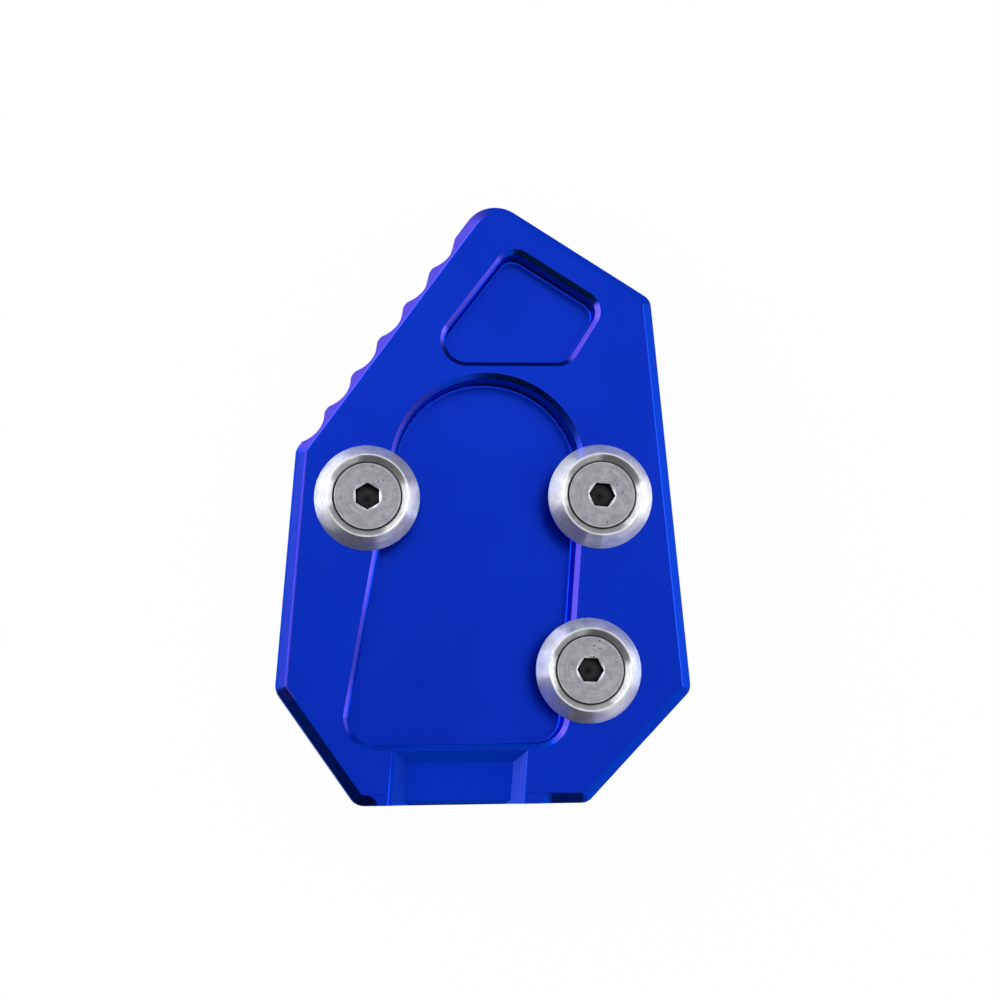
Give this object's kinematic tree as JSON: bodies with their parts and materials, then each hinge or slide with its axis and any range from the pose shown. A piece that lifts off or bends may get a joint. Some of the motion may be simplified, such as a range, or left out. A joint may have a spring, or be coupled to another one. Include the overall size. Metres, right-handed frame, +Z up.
{
  "type": "kickstand foot enlarger",
  "caption": "Flat milled foot that spreads a motorcycle side stand's load: a plate with a deep pocket for the stand's own foot, held in by low clamp washers and countersunk socket screws.",
  "frame": {"origin": "middle of the plate's plan box, on its flat underside", "axes": "+Z up out of the pockets, +Y along the plate from the heel edge towards the narrow crown"},
  "size_m": [0.071, 0.1038, 0.0178],
  "materials": {
    "blue_anodised_plate": "blue anodised over fine milling marks",
    "clear_anodised_washer": "turned and clear anodised",
    "stainless_screw": "plain stainless steel, turned head"
  },
  "bodies": {
    "root": {"base_plate": "blue_anodised_plate", "clamp_washer_left": "clear_anodised_washer", "clamp_washer_right_upper": "clear_anodised_washer", "clamp_washer_right_lower": "clear_anodised_washer", "clamp_screw_left": "stainless_screw", "clamp_screw_right_upper": "stainless_screw", "clamp_screw_right_lower": "stainless_screw"}
  },
  "joints": []
}
